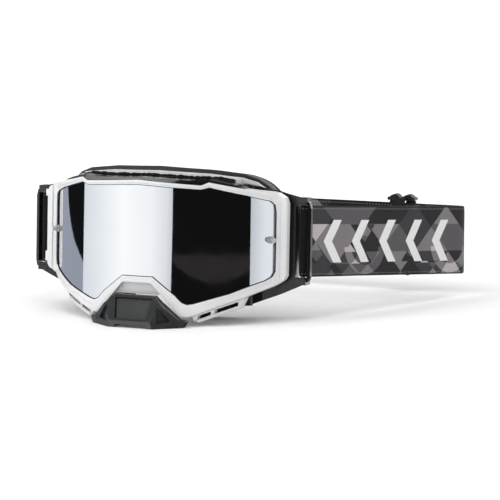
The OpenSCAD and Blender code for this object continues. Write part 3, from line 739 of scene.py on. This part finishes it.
for side, cad in ((1, "rail_foam_right"), (-1, "rail_foam_left")):
    rows = []
    for x in np.linspace(37.6, 60.4, 47):
        low = np.interp(x, [38, 56, 60.6], [3.8, 10.4, 12.3])
        high = np.interp(x, [37, 54, 60.6], [6.9, 13.7, 16.3]) + 0.1 * math.sin(x * 1.9)
        ring = []
        for r_, z in rounded(LENS_R - 7.52, LENS_R - 8.95, low, high):
            ring.append((side * x, LENS_R - math.sqrt(r_ * r_ - x * x), z))
        rows.append(ring)
    piece = soft_strip(cad + "_strip", rows, VENT)
    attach(piece, "goggles")
    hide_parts(cad)


def bar_wraps():
    """Webbing ends wrapped round the two slider bars."""
    box = nodes["slider_wraps"]
    pts = np.array([box.matrix_world @ v.co for v in box.data.vertices]) * 1000.0
    lo, hi = pts.min(axis=0), pts.max(axis=0)
    r_out = (hi[1] - lo[1]) / 2 - 0.05
    verts, faces, uvs = [], [], []
    steps = 40
    for cx in (lo[0] + r_out + 0.05, hi[0] - r_out - 0.05):
        base = len(verts)
        cy = (lo[1] + hi[1]) / 2
        mid, tall = (lo[2] + hi[2]) / 2, (hi[2] - lo[2]) / 2 - 0.1
        prof = [(r_out - 1.3, -0.96), (r_out - 0.9, -0.995), (r_out - 0.4, -0.995), (r_out - 0.06, -0.97)]
        prof += [(r_out - 0.02 + 0.02 * math.sin(k * 2.1), k / 10 - 0.9) for k in range(0, 19)]
        prof += [(r_out - 0.06, 0.97), (r_out - 0.4, 0.995), (r_out - 0.9, 0.995), (r_out - 1.3, 0.96)]
        m = len(prof)
        for i in range(steps):
            a = 2 * math.pi * i / steps
            for r_, z in prof:
                verts.append(((cx + r_ * math.cos(a)) / 1000, (cy + r_ * math.sin(a)) / 1000,
                              (mid + z * tall) / 1000))
                uvs.append(((1005.0 + i * 0.55) / 100.0, z * tall / 100.0))
        for i in range(steps):
            k = (i + 1) % steps
            for j in range(m):
                l = (j + 1) % m
                faces.append((base + i * m + j, base + k * m + j, base + k * m + l, base + i * m + l))
    mesh = bpy.data.meshes.new("slider_webbing_wraps")
    mesh.from_pydata(verts, [], faces)
    layer = mesh.uv_layers.new(name="along")
    for loop in mesh.loops:
        layer.data[loop.index].uv = uvs[loop.vertex_index]
    mesh.materials.append(WEB_BACK)
    bm = bmesh.new()
    bm.from_mesh(mesh)
    bmesh.ops.recalc_face_normals(bm, faces=bm.faces)
    bm.to_mesh(mesh)
    bm.free()
    for f_ in mesh.polygons:
        f_.use_smooth = True
    o = bpy.data.objects.new("slider_webbing_wraps", mesh)
    bpy.context.scene.collection.objects.link(o)
    return o


wraps = bar_wraps()
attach(wraps, "slider_body")
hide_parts("slider_wraps")

# ---------------------------------------------------------------- stage
def plane(name, size, z):
    mesh = bpy.data.meshes.new(name)
    corners = [(-size, -size, z), (size, -size, z), (size, size, z), (-size, size, z)]
    mesh.from_pydata(corners, [], [(0, 1, 2, 3)])
    o = bpy.data.objects.new(name, mesh)
    bpy.context.scene.collection.objects.link(o)
    return o


floor = plane("floor", 30.0, 0.0)
m, t, b = new_material("floor_pale")
n1 = node(t, "ShaderNodeTexNoise", Scale=6.0, Detail=4.0)
link(t, coords(t), n1.inputs["Vector"])
c1 = ramp(t, n1.outputs["Fac"], [(0.3, (0.90, 0.90, 0.90)), (0.7, (0.92, 0.92, 0.92))])
link(t, c1.outputs[0], b.inputs["Base Color"])
b.inputs["Roughness"].default_value = 0.9
b.inputs["Specular IOR Level"].default_value = 0.0
b.inputs["Emission Color"].default_value = (1, 1, 1, 1)
# the glow rises away from the object, so that the floor stays white out to the horizon
far_off = t.nodes.new("ShaderNodeVectorMath")
far_off.operation = "LENGTH"
link(t, coords(t), far_off.inputs[0])
glow = t.nodes.new("ShaderNodeMapRange")
for key, value in (("From Min", 0.25), ("From Max", 1.6), ("To Min", 0.055), ("To Max", 0.52)):
    glow.inputs[key].default_value = value
link(t, far_off.outputs["Value"], glow.inputs["Value"])
link(t, glow.outputs[0], b.inputs["Emission Strength"])
floor.data.materials.append(m)
floor.visible_glossy = False


def emission(name, colour, strength, second=None):
    """Plain light card. With a second colour it fades from one side to the other."""
    m = bpy.data.materials.new(name)
    m.use_nodes = True
    t = m.node_tree
    t.nodes.clear()
    out = t.nodes.new("ShaderNodeOutputMaterial")
    e = t.nodes.new("ShaderNodeEmission")
    e.inputs["Color"].default_value = (*colour, 1)
    e.inputs["Strength"].default_value = strength
    if second is not None:
        uv = node(t, "ShaderNodeUVMap", uv_map="card")
        sep = t.nodes.new("ShaderNodeSeparateXYZ")
        link(t, uv.outputs[0], sep.inputs[0])
        r = ramp(t, sep.outputs["X"], second)
        link(t, r.outputs[0], e.inputs["Color"])
    link(t, e.outputs[0], out.inputs["Surface"])
    return m


# camera from the photograph's viewing angle: a long lens about two metres away
AZ, EL, DIST = math.radians(22.39), math.radians(8.0), 2000.0
right = np.array([math.cos(AZ), math.sin(AZ), 0])
forward = np.array([-math.sin(AZ) * math.cos(EL), math.cos(AZ) * math.cos(EL), -math.sin(EL)])
up = np.cross(right, forward)
aim = right * 73.81 + up * 48.0
eye = (aim - forward * DIST + SHIFT) / 1000.0
cam_data = bpy.data.cameras.new("camera")
cam = bpy.data.objects.new("camera", cam_data)
bpy.context.scene.collection.objects.link(cam)
cam.location = Vector(eye)
cam.rotation_euler = Vector(forward).to_track_quat("-Z", "Y").to_euler()
cam_data.sensor_width = 36.0
cam_data.lens = 1.5394 * DIST / 500 * 36.0
cam_data.clip_end = 100.0
bpy.context.scene.camera = cam

# reflection cards: a card's corner is where the lens throws the view at a lens position
CARD_R = 2600.0


def thrown(x, z, radius=CARD_R):
    """Where the camera's view of lens position x, z (mm) meets a drum round the goggles."""
    phi = math.asin(x / LENS_R)
    c, s = math.cos(LEAN), math.sin(LEAN)
    p = stand(x, LENS_R - LENS_R * math.cos(phi), z) * 1000
    n = np.array([math.sin(phi), -math.cos(phi) * c, math.cos(phi) * s])
    view = (p - eye * 1000) / np.linalg.norm(p - eye * 1000)
    r = view - 2 * view.dot(n) * n
    q = p - SHIFT
    a = r[0] ** 2 + r[1] ** 2
    b_ = q[0] * r[0] + q[1] * r[1]
    k = (-b_ + math.sqrt(b_ * b_ - a * (q[0] ** 2 + q[1] ** 2 - radius ** 2))) / a
    return p + r * k


def card_angle(x):
    hit_ = thrown(x, 60.0) - SHIFT
    return math.atan2(hit_[0], -hit_[1])


def hide_card(o):
    o.visible_camera = False
    o.visible_diffuse = False
    o.visible_shadow = False
    return o


def card(name, a0, a1, material, low=-2.2, high=1.2):
    steps = 24
    verts, faces, uv = [], [], []
    for i in range(steps + 1):
        a = a0 + (a1 - a0) * i / steps
        x = (CARD_R * math.sin(a) + SHIFT[0]) / 1000
        y = (-CARD_R * math.cos(a) + SHIFT[1]) / 1000
        verts += [(x, y, low), (x, y, high)]
        uv += [(i / steps, 0), (i / steps, 1)]
    for i in range(steps):
        faces.append((2 * i, 2 * i + 2, 2 * i + 3, 2 * i + 1))
    mesh = bpy.data.meshes.new(name)
    mesh.from_pydata(verts, [], faces)
    layer = mesh.uv_layers.new(name="card")
    for loop in mesh.loops:
        layer.data[loop.index].uv = uv[loop.vertex_index]
    mesh.materials.append(material)
    o = bpy.data.objects.new(name, mesh)
    bpy.context.scene.collection.objects.link(o)
    return hide_card(o)


def lens_patch(name, rows, material, radius):
    """A card seen in the lens between two x positions at each of several heights."""
    verts, faces = [], []
    columns = 12
    for z, x0, x1 in rows:
        for i in range(columns + 1):
            verts.append(tuple(thrown(x0 + (x1 - x0) * i / columns, z, radius) / 1000))
    for r in range(len(rows) - 1):
        for i in range(columns):
            k = r * (columns + 1) + i
            faces.append((k, k + 1, k + columns + 2, k + columns + 1))
    mesh = bpy.data.meshes.new(name)
    mesh.from_pydata(verts, [], faces)
    mesh.materials.append(material)
    o = bpy.data.objects.new(name, mesh)
    bpy.context.scene.collection.objects.link(o)
    return hide_card(o)


edges = {k: card_angle(k) for k in (-71.0, -43.9, 23.0, 66.8, 80.6)}
card("card_side", edges[-71.0] - 0.5, edges[-43.9], emission("card_cool", (0.34, 0.36, 0.42), 1.0))
card("card_soft", edges[-43.9], edges[23.0], emission("card_white", (1, 1, 1), 1.0, [
    (0.0, (0.80, 0.83, 0.85)), (0.2, (0.92, 0.94, 0.95)), (0.5, (1.16, 1.15, 1.13)),
    (0.8, (1.06, 1.05, 1.04)), (0.95, (0.86, 0.87, 0.87)), (1.0, (0.70, 0.71, 0.72))]))
card("card_dark_front", edges[23.0], edges[66.8], emission("card_black_b", (0.006, 0.006, 0.006), 1.0))
card("card_strip", edges[66.8], edges[80.6] + 0.3, emission("card_grey", (1, 1, 1), 1.0, [
    (0.0, (0.62, 0.64, 0.67)), (0.3, (0.88, 0.89, 0.91)), (1.0, (0.95, 0.95, 0.95))]))
card("card_rim", edges[80.6] + 0.3, edges[80.6] + 1.5, emission("card_rim_light", (1, 1, 1), 2.2), -0.8, 2.2)
card("card_back", edges[80.6] + 1.5, edges[-71.0] - 0.5 + 2 * math.pi,
     emission("card_dim", (0.10, 0.10, 0.105), 1.0))
lens_patch("card_wedge", [
    (110.0, -62.6, -43.9), (84.0, -62.0, -43.9), (76.0, -61.0, -43.9),
    (68.0, -59.6, -43.9), (60.0, -57.4, -43.9),
    (52.0, -54.0, -43.9), (46.0, -50.6, -43.9), (41.0, -47.0, -43.9), (37.0, -44.0, -43.9)],
    emission("card_black_a", (0.007, 0.007, 0.008), 1.0), CARD_R - 30)
lens_patch("card_table", [
    (46.5, 23.2, 66.6), (41.0, 24.0, 66.6), (36.0, 30.0, 66.6), (31.0, 38.0, 58.0), (28.0, 44.0, 50.0)],
    emission("card_warm", (0.030, 0.026, 0.026), 1.0), CARD_R - 30)


def area(name, azimuth, elevation, distance, size, power, colour=(1, 1, 1)):
    data = bpy.data.lights.new(name, "AREA")
    data.shape = "SQUARE"
    data.size = size
    data.energy = power
    data.color = colour
    o = bpy.data.objects.new(name, data)
    bpy.context.scene.collection.objects.link(o)
    a, e = math.radians(azimuth), math.radians(elevation)
    d = Vector((math.sin(a) * math.cos(e), -math.cos(a) * math.cos(e), math.sin(e)))
    target = Vector((0, -0.03, 0.05))
    o.location = target + d * distance
    o.rotation_euler = (-d).to_track_quat("-Z", "Y").to_euler()
    o.visible_glossy = False
    return o


area("light_top", -10, 78, 1.6, 1.6, 12)
area("light_key", -50, 34, 1.8, 1.0, 10.5)
area("light_fill", 75, 30, 2.2, 1.2, 1.4)
area("light_back", 160, 35, 2.0, 1.2, 6)

world = bpy.data.worlds.new("studio")
bpy.context.scene.world = world
world.use_nodes = True
bg = world.node_tree.nodes["Background"]
bg.inputs["Color"].default_value = (1, 1, 1, 1)
bg.inputs["Strength"].default_value = 0.6
world.cycles_visibility.glossy = False

# white backdrop seen by the camera only
dome = plane("backdrop", 0.01, -5.0)
mesh = bpy.data.meshes.new("backdrop_dome")
bm = bmesh.new()
bmesh.ops.create_uvsphere(bm, u_segments=48, v_segments=24, radius=28.0)
bm.to_mesh(mesh)
bm.free()
dome.data = mesh
mesh.materials.append(emission("backdrop_white", (1, 1, 1), 1.02))
dome.visible_diffuse = False
dome.visible_glossy = False
dome.visible_shadow = False
dome.visible_transmission = False

bpy.context.scene.view_settings.view_transform = "Standard"
bpy.context.scene.view_settings.look = "None"
